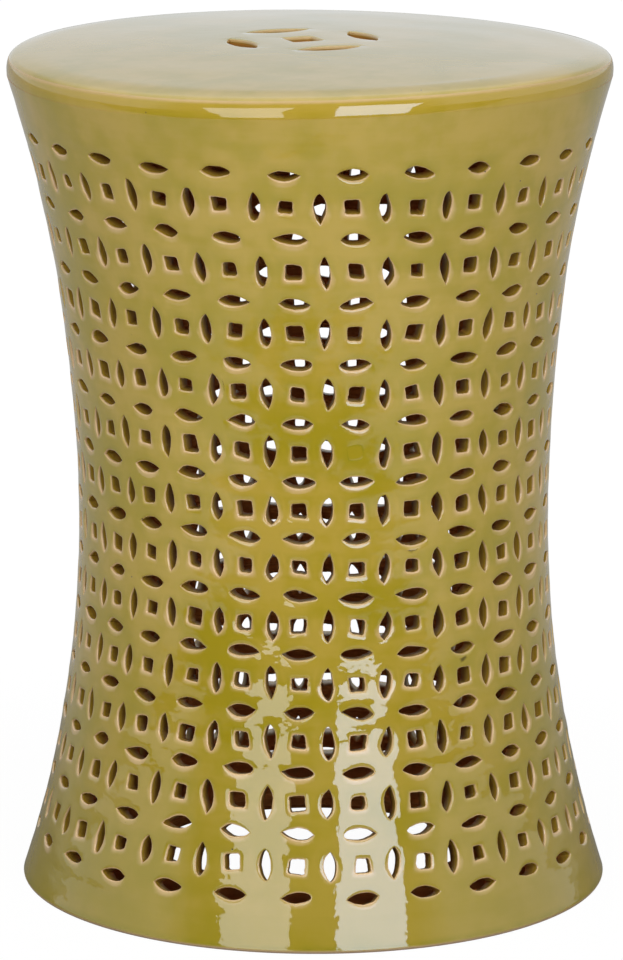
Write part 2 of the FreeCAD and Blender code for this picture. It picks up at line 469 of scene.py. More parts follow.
lattice = {
    "columns": 27,
    "rows": 12,
    "plainLow": 9.2,
    "plainHigh": 30.3,
    "closestRow": 4.2,
    "rowSpreading": 0.0033,
    "leafLength": 16.6,
    "leafWidth": 6.1,
    "squareSide": 8.0,
    "blind": (1, 7),  # column and row of the square that isn't cut through
    # the patches' common corner and how far their edges bow, as shares of a cell
    "corner": (0.3134, 0.196),
    "sideSwell": 0.037,
    "topSwell": 0.026,
    "squareNip": -0.047,
    "tipSwell": 0.036,
    # how the knife strayed, in millimetres, degrees or shares: spread, least and most
    "moved": ((0.45, 0.25), -0.7, 0.7),  # across and along
    "turned": (3.4, -7, 7),
    "resized": (0.065, -0.13, 0.08),
    "bellied": (0.13, -0.22, 0.22),
    "ragged": (0.1, -0.2, 0.2),
    "cornersMoved": (0.5, -0.7, 0.7),
    "softness": (3.6, 9),  # of a square's corners, 2 for a circle
    "steepness": (0.75, 1.3),
    "fullness": 2.3,  # power of a leaf's curve, 2 for a plain arc
    "bluntness": 0.5,
    "tipRoll": 0.35,  # share of the rolled edge's width at a leaf's tips
    "bellyShares": (1.4, 1.2, 0.5),
    "raggedReach": 1.5,
    # rings through the wall: distance out from the hole, and depth
    "roll": [2.4, 0.8, 0.28, 0.0],
    "rollDepth": [0.0, 0.05, 0.24, 0.8],
    "backRoll": [0.0, 0.0, 0.8],
    "backDepth": [1.9, 8.2, 9.0],
    "blindRings": [(1.12, 0.0), (1.0, 0.05), (0.88, 0.0), (0.7, 0.0)],
    # masks at the rings: thin glaze, and more of it under the hole, partly thin glaze and partly a painted highlight
    # where the lower lip faces up; then pooled glaze, weighted to over the hole, partly pooled glaze and partly
    # painted shade where the upper lip faces down
    "leafThinAndLipLight": ([0.0, 0.27, 0.5, 0.85, 1.0], [0.0, 0.216, 0.13, 0.0, 0.0]),
    "squareThinAndLipLight": ([0.0, 0.2, 0.5, 0.85, 1.0], [0.0, 0.16, 0.13, 0.0, 0.0]),
    "thinStrength": (0.65, 1.1),
    "underReach": 3.0,
    "pool": [0.0, 0.3, 0.25, 0.1, 0.0],
    "poolAndShadeShares": (0.6, 0.4),
    # the blind square's pressed line: pooled glaze, darkened further as painted shade in the groove
    "blindPoolAndShade": [0.0, 0.3, 1.0, 0.3, 0.0],
    "backMasks": {"thin": [1, 0, 0, 0, 0], "clay": [0.0, 0.4, 0.9, 1.0, 1.0], "bare": [0, 0, 1, 1, 1]},
    # rows of the plain bands, as shares of the way from the lattice to the joint
    "topBand": [0, 0.1, 0.25, 0.45, 0.65, 0.85, 0.97, 1],
    "lowBand": [0, 0.5, 0.85, 1],
    # how the whole lattice strays, faded near the foot and the seat
    "fade": (8.0, 26.0),
    "topTwist": (4.4, 1.4),  # the highest rows to the left, over so many rows
    "sideBow": (8.0, 5.3, 3.4, 0.25),  # the columns at the sides to the right: at its row, over rows, less
    "lowLeft": (7.0, 0.9),  # the lowest rows on the left to the left
    "rowTilt": (2.2, 2.0, 0.3),  # the rows up to the left, the lowest less
    "backEnds": (1.9, 0.5),  # what follows is at the back, seen in the holes of the front
    "backTurn": (0.52, 0.17),  # half a coin on: plain and by angle
    "backDrop": (3.5, 2.3, -3.7, -7.0),  # lower: plain, by angle, by height and its square
    "backMiddle": (220.0, 200.0),
}
wide, tall, narrow, short = 6, 6, 4, 4  # steps along a patch's sides

cell = 2 * math.pi / lattice["columns"]
rowSteps = 1 + lattice["rowSpreading"] * (np.arange(lattice["rows"]) - lattice["closestRow"]) ** 2
latticeLow = form["footJoint"] + lattice["plainLow"]
latticeHigh = form["seatJoint"] - lattice["plainHigh"]
rowHeights = latticeLow + np.concatenate([[0], np.cumsum(rowSteps)]) * (latticeHigh - latticeLow) / rowSteps.sum()
frontRings = 1 + len(lattice["roll"])

cornerX, cornerY = lattice["corner"]
side, top, nip, tip = (lattice[name] for name in ("sideSwell", "topSwell", "squareNip", "tipSwell"))
patches = {  # middle in the cell and rows, then half-width, half-height, bow of the sides and ends, and steps
    "lying": ((0.0, 0.0, lattice["rows"] + 1), (cornerX, cornerY, side, top, wide, short)),
    "square": ((0.0, 0.5, lattice["rows"]), (cornerX, 0.5 - cornerY, nip, -top, wide, tall)),
    "standing": ((0.5, 0.5, lattice["rows"]), (0.5 - cornerX, 0.5 - cornerY, -nip, tip, narrow, tall)),
    "plain": ((0.5, 0.0, lattice["rows"] + 1), (0.5 - cornerX, cornerY, -side, -tip, narrow, short)),
}


def rowHeight(v):
    # height of a place counted in rows, the ends carried straight on
    z = np.interp(v, np.arange(len(rowHeights)), rowHeights)
    z = np.where(v < 0, rowHeights[0] + v * (rowHeights[1] - rowHeights[0]), z)
    return np.where(v > lattice["rows"], rowHeights[-1] + (v - lattice["rows"]) * (rowHeights[-1] - rowHeights[-2]), z)


def patchSides(halfAcross, halfUp, sideSwell, topSwell, stepsAcross, stepsUp):
    # the four sides of a patch, bowed as parabolas: bottom and top from the left, right and left from below
    s, t = (np.linspace(-1, 1, steps + 1) for steps in (stepsAcross, stepsUp))
    top = np.stack([halfAcross * s, halfUp + topSwell * (1 - s**2)], -1)
    right = np.stack([halfAcross + sideSwell * (1 - t**2), halfUp * t], -1)
    return top * (1, -1), right, top, right * (-1, 1)


def patchLoop(*settings):
    bottom, right, top, left = patchSides(*settings)
    return np.concatenate([bottom[:-1], right[:-1], top[:0:-1], left[:0:-1]])


def patchGrid(*settings):
    # plain patch: its sides blended across it
    bottom, right, top, left = patchSides(*settings)
    s = np.linspace(0, 1, len(bottom))[None, :, None]
    t = np.linspace(0, 1, len(left))[:, None, None]
    between = (1 - t) * bottom[None] + t * top[None] + (1 - s) * left[:, None] + s * right[:, None]
    corners = (1 - t) * ((1 - s) * bottom[0] + s * bottom[-1]) + t * ((1 - s) * top[0] + s * top[-1])
    return between - corners


def leafLoop(steps, firstTip, length, width, out, belly, blunt):
    # leaves along X, out millimetres larger. The half-width falls from the middle as 1 - share^fullness, to a
    # power that rounds off blunt tips. Belly moves each side's width and its fullest place
    turn = 2 * math.pi * (np.arange(steps) - firstTip) / steps
    halfLength = (length / 2 + lattice["tipRoll"] * out)[..., None]
    halfWidth = (width / 2 + out)[..., None]
    share = np.cos(turn)
    side = np.where(np.abs(np.sin(turn)) < 1e-9, 0, np.sign(np.sin(turn)))
    power = 1 - lattice["bluntness"] * np.abs(share) * np.where(share > 0, blunt[..., :1], blunt[..., 1:2])
    rise = side * halfWidth * np.maximum(1 - np.abs(share) ** lattice["fullness"], 0) ** power
    along, skew, bow = lattice["bellyShares"]
    rise = rise * (1 + belly[..., :1] * side + along * belly[..., 1:2] * share + skew * belly[..., 2:3] * side * share)
    x = halfLength * share + belly[..., 3:4] * halfWidth * bow * (1 - share**2)
    return np.stack([x, rise], -1)


def squareLoop(side, out, corners, softness, *steps):
    # squares whose corners are softened by a curve of equal power sums, and moved a little each way
    unit = patchLoop(1, 1, 0, 0, *steps)
    softness = np.asarray(softness)[..., None, None]
    unit = unit / (np.abs(unit) ** softness).sum(-1, keepdims=True) ** (1 / softness)
    x, y = unit[..., 0], unit[..., 1]
    weights = np.stack([(1 - x) * (1 - y), (1 + x) * (1 - y), (1 + x) * (1 + y), (1 - x) * (1 + y)], -2) / 4
    return unit * (side / 2 + out)[..., None, None] + np.einsum("...cd,...cn->...nd", corners, weights)


def strays(name, shape):
    spread, least, most = lattice[name]
    return chance.normal(0, spread, shape).clip(least, most)


def inCells(kind, local):
    # angle and height of places in every cell, counted from the middle of its patch of one kind
    offset, shape = patches[kind][0][:2], (lattice["columns"], patches[kind][0][2])
    column, row = (
        (index + start).reshape(shape + (1,) * (local.ndim - 1)) for index, start in zip(np.indices(shape), offset)
    )
    return np.stack([(column + local[..., 0]) * cell, rowHeight(row + local[..., 1])], -1)


def wallPatches(kind):
    # rings of angles, heights and depths: from the cell's edge to the hole, through it, and back out inside
    sides = patches[kind][1]
    loop, steps = patchLoop(*sides), sides[4:]
    edge, centre = inCells(kind, loop), inCells(kind, np.zeros(2))[..., None, :]
    count, shape = len(loop), edge.shape[:2]
    spread, least, most = lattice["moved"]
    shift = chance.normal(0, 1, shape + (2,)) * np.array(spread[::-1] if kind == "lying" else spread)
    turn = np.radians(strays("turned", shape))[..., None]
    size = 1 + strays("resized", shape + (2,))
    belly = strays("bellied", shape + (4,))
    blunt = chance.uniform(0, 1, shape + (2,)) ** 2
    softness = chance.uniform(*lattice["softness"], shape)
    ragged = strays("ragged", shape + (count, 2))
    corners = strays("cornersMoved", shape + (4, 2))
    steepness = chance.uniform(*lattice["steepness"], shape)[..., None]
    blind = np.zeros(shape, bool)
    blind[lattice["blind"]] = kind == "square"
    rings, depths = [edge], [np.zeros(edge.shape[:-1])]
    for out, deep in zip(lattice["roll"] + lattice["backRoll"], lattice["rollDepth"] + lattice["backDepth"]):
        if kind == "square":
            points = squareLoop(lattice["squareSide"] * size[..., 0], out, corners, softness, *steps)
        else:
            firstTip = steps[0] + steps[1] / 2 if kind == "lying" else steps[0] * 1.5 + steps[1]
            length, width = lattice["leafLength"] * size[..., 0], lattice["leafWidth"] * size[..., 1]
            points = leafLoop(count, firstTip, length, width, out, belly, blunt)
            if kind == "standing":
                points = np.stack([-points[..., 1], points[..., 0]], -1)
        points = points + ragged * max(0.0, 1 - out / lattice["raggedReach"])
        points = rotated(points, turn) + shift.clip(least, most)[..., None, :]
        angle = centre[..., 0] + points[..., 0] / outlineRadius(centre[..., 1])
        rings.append(np.stack([angle, centre[..., 1] + points[..., 1] * np.cos(outlineLean(centre[..., 1]))], -1))
        isFront = deep < form["wall"] / 2
        depths.append(np.broadcast_to(deep * (steepness if isFront else 1.0), angle.shape))
    rings, depths = np.stack(rings + [edge], 2), np.stack(depths + [np.full(edge.shape[:-1], form["wall"])], 2)
    return (values.reshape((-1,) + values.shape[2:]) for values in (rings, depths, blind))


def strayed(angle, z):
    # slow warp of the whole lattice, as in the photo
    v = np.interp(z, rowHeights, np.arange(len(rowHeights)))
    low, high = lattice["fade"]
    inside = np.clip((z - form["footJoint"]) / low, 0, 1) * np.clip((form["seatJoint"] - z) / high, 0, 1)
    side = np.sin(angle) ** 2
    twist, reach = lattice["topTwist"]
    move = -twist * np.exp(-((lattice["rows"] - v) ** 2) / reach) * (0.5 + 0.5 * np.cos(angle))
    bow, row, reach, less = lattice["sideBow"]
    move = move + bow * side * (np.exp(-(((v - row) / reach) ** 2)) - less)
    left, reach = lattice["lowLeft"]
    move = move - left * np.where(np.sin(angle) < 0, side, 0) * np.exp(-v / reach)
    tilt, reach, least = lattice["rowTilt"]
    lift = -tilt * np.sin(angle) * np.clip(v / reach, least, 1)
    behind = np.mod(angle, 2 * math.pi) - math.pi
    isBack = eased(np.abs(behind), *lattice["backEnds"])
    plain, byAngle = lattice["backTurn"]
    onwards = isBack * (plain + byAngle * behind) * cell
    middle, reach = lattice["backMiddle"]
    climb = (z - middle) / reach
    plain, byAngle, byHeight, bySquare = lattice["backDrop"]
    lift = lift - isBack * (plain + byAngle * behind + byHeight * climb + bySquare * climb**2)
    return angle + inside * move / outlineRadius(z) + onwards, z + inside * lift


def wallPoints(rings, depths):
    angle, z = strayed(rings[..., 0], rings[..., 1])
    return onOutline(angle, z, depths - unevenness(angle, z))


def plainPatches(depth):
    # the patches where four coins meet
    places = inCells("plain", patchGrid(*patches["plain"][1]))
    places = places.reshape((-1,) + places.shape[2:])
    return wallPoints(places, np.full(places.shape[:-1], depth))


def bandRows(isTop, depth, rows):
    # plain band between the lattice and a joint, its rows spread from the bowed edge to the level one
    lying, plain = (patchSides(*patches[kind][1])[2 if isTop else 0][:-1] for kind in ("lying", "plain"))
    edge = np.concatenate([lying, plain + patches["plain"][0][:2]])
    angle = ((np.arange(lattice["columns"])[:, None] + edge[:, 0]) * cell).reshape(-1)
    edge = np.tile(rowHeight(edge[:, 1] + (lattice["rows"] if isTop else 0)), lattice["columns"])
    share = np.array(rows)[:, None]
    z = edge * (1 - share) + form["seatJoint" if isTop else "footJoint"] * share
    angle, z = strayed(np.broadcast_to(angle, z.shape), z)
    points = onOutline(angle, z, depth - unevenness(angle, z))
    points[..., 2] = points[..., 2] * (1 - share) + z * share
    return points


def atRings(values):
    # one value for each ring, for all patches and points
    return np.array(values)[None, :, None]


def buildWall():
    front, back = Shell("thin", "pool"), Shell("clay", "thin", "bare")
    for kind in ("lying", "square", "standing"):
        rings, depths, blind = wallPatches(kind)
        # the blind square is only a pressed line: its rings run on to its middle
        for ring, (reach, deep) in enumerate(lattice["blindRings"], start=1):
            centre = rings[blind, frontRings].mean(1, keepdims=True)
            rings[blind, ring] = centre + (rings[blind, frontRings] - centre) * reach
            depths[blind, ring] = deep
        points = wallPoints(rings, depths)
        count = points.shape[2]
        outside, inside, hidden = points[:, :frontRings], points[~blind, frontRings - 1 :], points[blind, -2:]

        strength = chance.uniform(*lattice["thinStrength"], (len(points), 1, 1))
        # more thin glaze under the hole: partly thin glaze, partly a painted highlight on the lower lip that faces up
        under = rings[:, -2:-1, :, 1].mean(2, keepdims=True) - rings[:, :frontRings, :, 1]
        under = np.clip(under / lattice["underReach"], -1, 1)
        thin, more = (atRings(values) for values in lattice["squareThinAndLipLight" if kind == "square" else "leafThinAndLipLight"])
        thin = np.where(blind[:, None, None], 0.0, (thin + more * under) * strength)
        # more pool over the hole: partly pooled glaze, partly painted shade on the upper lip that faces down
        plain, less = lattice["poolAndShadeShares"]
        pool = atRings(lattice["pool"]) * strength * (plain - less * under)
        # the blind square's groove: pooled glaze with painted shade
        pool = np.where(blind[:, None, None], atRings(lattice["blindPoolAndShade"]), pool)
        quads = ringQuads(outside)
        if blind.any():
            lastRing = (np.flatnonzero(blind)[0] * frontRings + frontRings - 1) * count
            quads = np.concatenate([quads, capQuads(lastRing, count)])
        front.add(outside, quads, thin=thin, pool=pool)
        back.add(inside, ringQuads(inside), **{mask: atRings(shares) for mask, shares in lattice["backMasks"].items()})
        if blind.any():
            # behind the blind square the wall is whole
            quads = np.concatenate([ringQuads(hidden), capQuads(0, count)[:, ::-1]])
            back.add(hidden, quads, clay=1.0, bare=1.0)

    for shell, depth, bare in ((front, 0.0, 0.0), (back, form["wall"], 1.0)):
        block = plainPatches(depth)
        shell.add(block, turnedOver(gridQuads(block), shell is back), clay=bare, bare=bare)
        for isTop, rows in ((True, lattice["topBand"]), (False, lattice["lowBand"])):
            band = bandRows(isTop, depth, rows)
            shell.add(band, turnedOver(ringQuads(band), isTop != (shell is front)), clay=bare, bare=bare)
    for isTop in (True, False):
        ends = np.stack([bandRows(isTop, depth, [1])[0] for depth in (0.0, form["wall"])])
        back.add(ends, turnedOver(ringQuads(ends), not isTop), clay=1.0, bare=1.0)
    makePiece("wallGlaze", front, [citronGlaze], "pierced_wall", crease=None)
    makePiece("wallClay", back, [citronGlaze, bareClay], "pierced_wall")


buildWall()


# Seat: a dome with one coin cut through its middle, and a rounded rim that comes down over the wall

seat = {
    "rise": 6.5,
    "topRise": 5.7,  # the glazed top is a little fuller, and stays this far under the highest point
    "glazeGap": 0.25,
    "thickness": 11.0,
    "cornerRadius": 166.0,  # of the sharp corner under the rim's rounding
    "shoulderFrom": 145.0,  # where the dome starts to fall off towards the rim
    "shoulderSlope": 14.0,  # how steep it is where the rim's rounding starts
    "shoulderPull": (5.0, 3.5),
    "rimRadius": 162.15,  # of the rim where it stands out most, and how far that is over the joint
    "rimLow": 2.8,
    "rimFace": (16.0, 17.0),  # radius and turn of its nearly upright face
    "rimRounding": 5.0,
    "rimSink": 0.1,  # its unevenness is shifted inwards by this, towards the joint
    "rimLip": (36.0, 2.0),  # radius of the face under the widest place, and how far down it goes
    "rimSteps": (12, 11, 6, 4),  # along the shoulder, rounding, face and lip
    "land": 14.0,
    "pitch": 70.0,
    "leafLength": 36.0,
    "leafWidth": 11.8,
    "squareSide": 16.0,
    "softness": 9.0,
    "turn": 26.7,
    "coinAside": (-4.2, 3.5),  # the coin sits to the left and back, which fades out over these radii
    "asideEnds": (140.0, 70.0),
    "innerLine": 22.0,  # lines of the patches round the coin's holes, and the first full circle
    "outerLine": 46.0,
    "circle": 92.0,
    "topRings": [(56, 92, 6), (100, 141, 11)],  # first and last radius, and how many
    "underRings": [(125, 92, 5), (80, 46, 4)],
    "longSteps": 28,
    "shortSteps": 16,
    "roll": [2.4, 1.2, 0.5, 0.16, 0.0],
    "rollDepth": [0.0, 0.07, 0.3, 0.75, 1.5],
    "thin": [0.0, 0.0, 0.1, 0.6, 1.0, 1.0],
    "pool": [0.0, 0.2, 0.3, 0.1, 0.0, 0.0],
    "holeSides": [(0, 1, 0.4), (0.05, 0, 0.8), (0.65, 0, 0.85), (1, 0, 0.95)],  # share of the way down, thin, clay
    "bareFrom": 0.94,
    # amber and a tan line on the rim, by how far under its widest place
    "amber": ([-6.6, -4.6, -2.5, 0.5, 2.8], [0, 0.5, 0.75, 0.4, 0.15]),
    "tan": ([-6.9, -6.1, -5.0, -4.2], [0, 0.85, 0.7, 0.05]),
    "waves": (9, (2, 9), (60, 240)),
    "waveHeight": 0.05,
    "waveFade": 60.0,
}
seatWaves = drawWaves(*seat["waves"])
quarter = math.pi / 2


def domeDrop(radius, reach, rise):
    # how far a shallow dome has come down from its crown
    bend = arcRadius(reach, rise)
    return bend - np.sqrt(bend**2 - radius**2)


jointRadius, jointLean = outlineRadius(form["seatJoint"]), outlineLean(form["seatJoint"])
landRadius = jointRadius - form["wall"] * math.cos(jointLean) - seat["land"]


def seatTop(radius):
    return form["height"] - seat["glazeGap"] - domeDrop(radius, seat["cornerRadius"], seat["topRise"])


def seatHeight(x, y, isTop):
    # faint waves on the top; the underside ends level at the land on the wall
    radius = np.hypot(x, y)
    wave = seat["waveHeight"] * waveSum(seatWaves, np.arctan2(x, -y), 3 * radius)
    wave = wave * np.clip(radius / seat["waveFade"], 0, 1)
    under = form["height"] - seat["thickness"] - domeDrop(np.minimum(radius, landRadius), landRadius, seat["rise"])
    return np.where(isTop, seatTop(radius) + wave, under)


def bezier(points, steps):
    # curve that leaves the first point towards the second and reaches the last from the third
    first, second, third, last = (np.array(point, float) for point in points)
    t = np.linspace(0, 1, steps)[:, None]
    return (1 - t) ** 3 * first + 3 * (1 - t) ** 2 * t * second + 3 * (1 - t) * t**2 * third + t**3 * last


def arc(centre, radius, start, end, steps):
    # arc about a centre, between two angles over the level
    turn = np.linspace(start, end, steps)[:, None]
    return centre + radius * np.concatenate([np.cos(turn), np.sin(turn)], 1)


def seatPatch(kind):
    # rings of one hole on the plane: the cell's edge, the rolled edge and the hole
    inner, outer, steps = seat["innerLine"], seat["outerLine"], seat["longSteps"]
    if kind == "square":
        sides, centre = (inner, inner, 0, 0, steps, steps), (0, 0)
    else:
        sides, centre = (inner, (outer - inner) / 2, 0, 0, steps, seat["shortSteps"]), (0, (inner + outer) / 2)
    rings = [patchLoop(*sides) + centre]
    for out in seat["roll"]:
        if kind == "square":
            ring = squareLoop(np.array(seat["squareSide"]), out, np.zeros((4, 2)), seat["softness"], *sides[4:])
        else:
            size = np.array(seat["leafLength"]), np.array(seat["leafWidth"])
            ring = leafLoop(len(rings[0]), sides[4] + sides[5] / 2, *size, out, np.zeros(4), np.zeros(2))
            ring = ring + (0, seat["pitch"] / 2)
        rings.append(ring)
    return np.stack(rings)


def rimProfile():
    # from the dome down to the joint: shoulder, rounded corner, nearly upright face and lip
    widest = np.array([seat["rimRadius"], form["seatJoint"] + seat["rimLow"]])
    shoulderSteps, cornerSteps, faceSteps, lipSteps = seat["rimSteps"]
    faceRadius, faceTurn = seat["rimFace"][0], math.radians(seat["rimFace"][1])
    face = arc(widest - (faceRadius, 0), faceRadius, faceTurn, 0, faceSteps)
    steep = math.radians(seat["shoulderSlope"])
    middle = face[0] - seat["rimRounding"] * np.array([math.cos(faceTurn), math.sin(faceTurn)])
    corner = arc(middle, seat["rimRounding"], quarter - steep, faceTurn, cornerSteps)[:-1]
    start, pull = seat["shoulderFrom"], seat["shoulderPull"]
    slope = start / arcRadius(seat["cornerRadius"], seat["topRise"])
    fromTop = (start + pull[0], seatTop(start) - pull[0] * slope)
    toRim = corner[0] - (pull[1] * math.cos(steep), -pull[1] * math.sin(steep))
    shoulder = bezier([(start, seatTop(start)), fromTop, toRim, corner[0]], shoulderSteps)[:-1]
    lipRadius, lipDown = seat["rimLip"]
    lip = arc(widest - (lipRadius, 0), lipRadius, 0, -math.asin(lipDown / lipRadius), lipSteps)[1:]
    return np.concatenate([shoulder, corner, face, lip, [(jointRadius, form["seatJoint"])]]), widest[1]


def buildSeat():
    shell = Shell("thin", "pool", "clay", "amber", "bare")

    def add(block, quads, clay=0.0, **masks):
        shell.add(block, quads, clay=clay, bare=np.asarray(clay) > seat["bareFrom"], **masks)

    def placed(plane, isTop, depth=0.0):
        # turned, and moved aside by the coin's own shift
        plane = rotated(plane, math.radians(seat["turn"]))
        start, end = seat["asideEnds"]
        share = np.clip((np.hypot(plane[..., 0], plane[..., 1])[..., None] - start) / (end - start), 0, 1)
        plane = plane + np.array(seat["coinAside"]) * share
        z = seatHeight(plane[..., 0], plane[..., 1], isTop)
        return np.concatenate([plane, (z - depth)[..., None]], -1)

    inner, outer = seat["innerLine"], seat["outerLine"]
    for index, kind in enumerate(["square"] + ["leaf"] * 4):
        rings = rotated(seatPatch(kind), quarter * index)
        top = placed(rings, True, np.array([0.0] + seat["rollDepth"])[:, None])
        add(top, ringQuads(top), thin=np.array(seat["thin"])[:, None], pool=np.array(seat["pool"])[:, None])
        under = placed(rings[[-1, 0]], False)
        share, thin, clay = np.array(seat["holeSides"]).T[..., None]
        side = top[-1] * (1 - share[..., None]) + under[0] * share[..., None]
        add(side, ringQuads(side), clay, thin=thin)
        add(under, ringQuads(under), 1.0)
        if kind == "leaf":
            line = np.linspace(inner, outer, seat["shortSteps"] + 1)
            corner = rotated(np.stack(np.meshgrid(line, line), -1), quarter * index)
            for isTop in (True, False):
                block = placed(corner, isTop)
                add(block, turnedOver(gridQuads(block), not isTop), 0.0 if isTop else 1.0)

    # the coin's square edge widens to circles, then over the rim and back underneath
    runs = [(-outer, -inner, "shortSteps"), (-inner, inner, "longSteps"), (inner, outer, "shortSteps")]
    side = np.concatenate([np.linspace(start, end, seat[steps] + 1)[:-1] for start, end, steps in runs])
    side = np.stack([side, np.full(side.shape, -outer)], -1)
    edge = np.concatenate([rotated(side, quarter * index) for index in range(4)])
    edgeAngle = np.unwrap(np.arctan2(edge[:, 1], edge[:, 0]))
    evenAngle = edgeAngle[0] + np.arange(len(edge)) * 2 * math.pi / len(edge)
    edgeRadius = np.hypot(edge[:, 0], edge[:, 1])

    def widened(radius):
        # circle of the given radius, blended from the square edge before the first full circle
        share = min(max((radius - outer) / (seat["circle"] - outer), 0), 1)
        angle = edgeAngle * (1 - share) + evenAngle * share
        reach = edgeRadius * (1 - share) + max(radius, seat["circle"]) * share
        return np.stack([reach * np.cos(angle), reach * np.sin(angle)], -1)

    profile, widestHeight = rimProfile()
    topRadii = np.concatenate([[outer]] + [np.linspace(*run) for run in seat["topRings"]])
    underRadii = [np.linspace(jointRadius - form["wall"], landRadius, 3)]
    underRadii = np.concatenate(underRadii + [np.linspace(*run) for run in seat["underRings"]])
    rings = [placed(widened(radius), True) for radius in topRadii]
    for step, (radius, height) in enumerate(profile):
        plane = rotated(widened(radius), math.radians(seat["turn"]))
        angle = np.arctan2(plane[:, 0], -plane[:, 1])
        wave = unevenness(angle, np.full(angle.shape, form["seatJoint"])) - seat["rimSink"]
        wave = wave * (step / (len(profile) - 1)) ** 2
        if step == 0:
            height = seatHeight(plane[:, 0], plane[:, 1], True)
        plane = plane * (1 + wave / radius)[:, None]
        rings.append(np.concatenate([plane, np.broadcast_to(height, angle.shape)[:, None]], -1))
    rings = np.stack(rings + [placed(widened(radius), False) for radius in underRadii])
    # how far under the rim's widest place, with the top far over it and the underside far below
    far = 20.0
    down = [np.full(len(topRadii), -far), widestHeight - profile[:, 1], np.full(len(underRadii), far)]
    down = np.concatenate(down)[:, None]
    amber, thin = np.interp(down, *seat["amber"]), np.interp(down, *seat["tan"])
    add(rings, ringQuads(rings)[:, ::-1], (down > far / 2).astype(float), thin=thin, amber=amber)
    makePiece("seatGlaze", shell, [seatCoat, bareClay], "seat_top")


buildSeat()


# Foot: the wall runs down to the floor, and a flange reaches in under the lowest holes

foot = {
    "top": form["footJoint"],
    "flangeUnder": form["footJoint"] - 11.0,
    "opening": 88.0,
    "rimInside": 140.0,
    "rounding": 1.5,
    "outerLow": 2.7,  # the outer face ends at this height, over the rounding
    "lipRounding": 3.0,
    "outerSteps": 12,
    "arcSteps": 7,
    "flangeSteps": 8,
    # by height: raw clay at the floor, and the bead where the glaze stopped
    "raw": ([1.2, 2.1], [1, 0]),
    "pool": ([1.8, 2.6, 5.0], [0.6, 1.0, 0.1]),
}


def fillet(before, corner, after, radius):
    # arc that rounds a corner between two straight runs
    before, corner, after = (np.array(point, float) for point in (before, corner, after))
    ways = [(point - corner) / np.linalg.norm(point - corner) for point in (before, after)]
    half = math.acos(ways[0] @ ways[1]) / 2
    centre = corner + sum(ways) / np.linalg.norm(sum(ways)) * radius / math.sin(half)
    start, end = (corner + way * radius / math.tan(half) - centre for way in ways)
    t = np.linspace(0, 1, foot["arcSteps"])[:, None]
    sweep = math.pi - 2 * half
    return centre + (np.sin((1 - t) * sweep) * start + np.sin(t * sweep) * end) / math.sin(sweep)


def buildFoot():
    # a closed profile of straight runs and rounded corners, carried round the stool
    lying = np.linspace(-1, 1, wide + 1)[:-1] * cornerX
    plain = np.linspace(-1, 1, narrow + 1)[:-1] * (0.5 - cornerX) + 0.5
    angle = ((np.arange(lattice["columns"])[:, None] + np.concatenate([lying, plain])) * cell).reshape(-1)
    opening, inside, under, top = (foot[name] for name in ("opening", "rimInside", "flangeUnder", "top"))
    heights = np.linspace(top, foot["outerLow"], foot["outerSteps"])
    outer = np.stack([outlineRadius(heights), heights], -1)
    corners = [outer[-1], (outlineRadius(0.0), 0.0), (inside, 0.0), (inside, under)]
    corners += [(opening, under), (opening, top), outer[0]]
    radii = [foot["rounding"]] * 3 + [foot["lipRounding"]] * 2
    arcs = [fillet(*run) for run in zip(corners, corners[1:], corners[2:], radii)]
    flange = np.linspace((opening + 2 * foot["lipRounding"], top), outer[0], foot["flangeSteps"])[:-1]
    profile = np.concatenate([outer, *arcs, flange])

    radius, z = profile[:, :1], profile[:, 1:]
    steps = np.arange(len(profile))[:, None]
    outerEnd, rimEnd = len(outer) + foot["arcSteps"], len(outer) + 3 * foot["arcSteps"]
    isOuter = steps < outerEnd
    # the turned face is a little uneven where the fingers drew it
    wave = unevenness(angle, z) * np.where(isOuter, np.clip(z / top, 0, 1), 0)
    points = aroundAxis(radius + wave, angle, z)
    masks = {
        "raw": np.where(isOuter, np.interp(z, *foot["raw"]), 0.0),
        "clay": np.where(steps >= rimEnd, 1.0, 0.0),
        "pool": np.where(isOuter, np.interp(z, *foot["pool"]), 0.0),
    }
    masks["raw"] = np.where((steps >= outerEnd - 1) & (steps < rimEnd), 1.0, masks["raw"])
    # the last ring joins the first
    closed = np.append(np.arange(len(profile)), 0)
    points, masks = points[closed], {mask: values[closed] for mask, values in masks.items()}
    shell = Shell("raw", "clay", "pool", "bare")
    shell.add(points, ringQuads(points)[:, [0, 3, 2, 1]], bare=masks["clay"], **masks)
    makePiece("footGlaze", shell, [citronGlaze, bareClay], "foot_ring")


buildFoot()

for node in ("seat_joint_coil", "foot_joint_coil"):
    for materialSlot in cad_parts[node].material_slots:
        materialSlot.material = bareClay


# Floor, light and camera

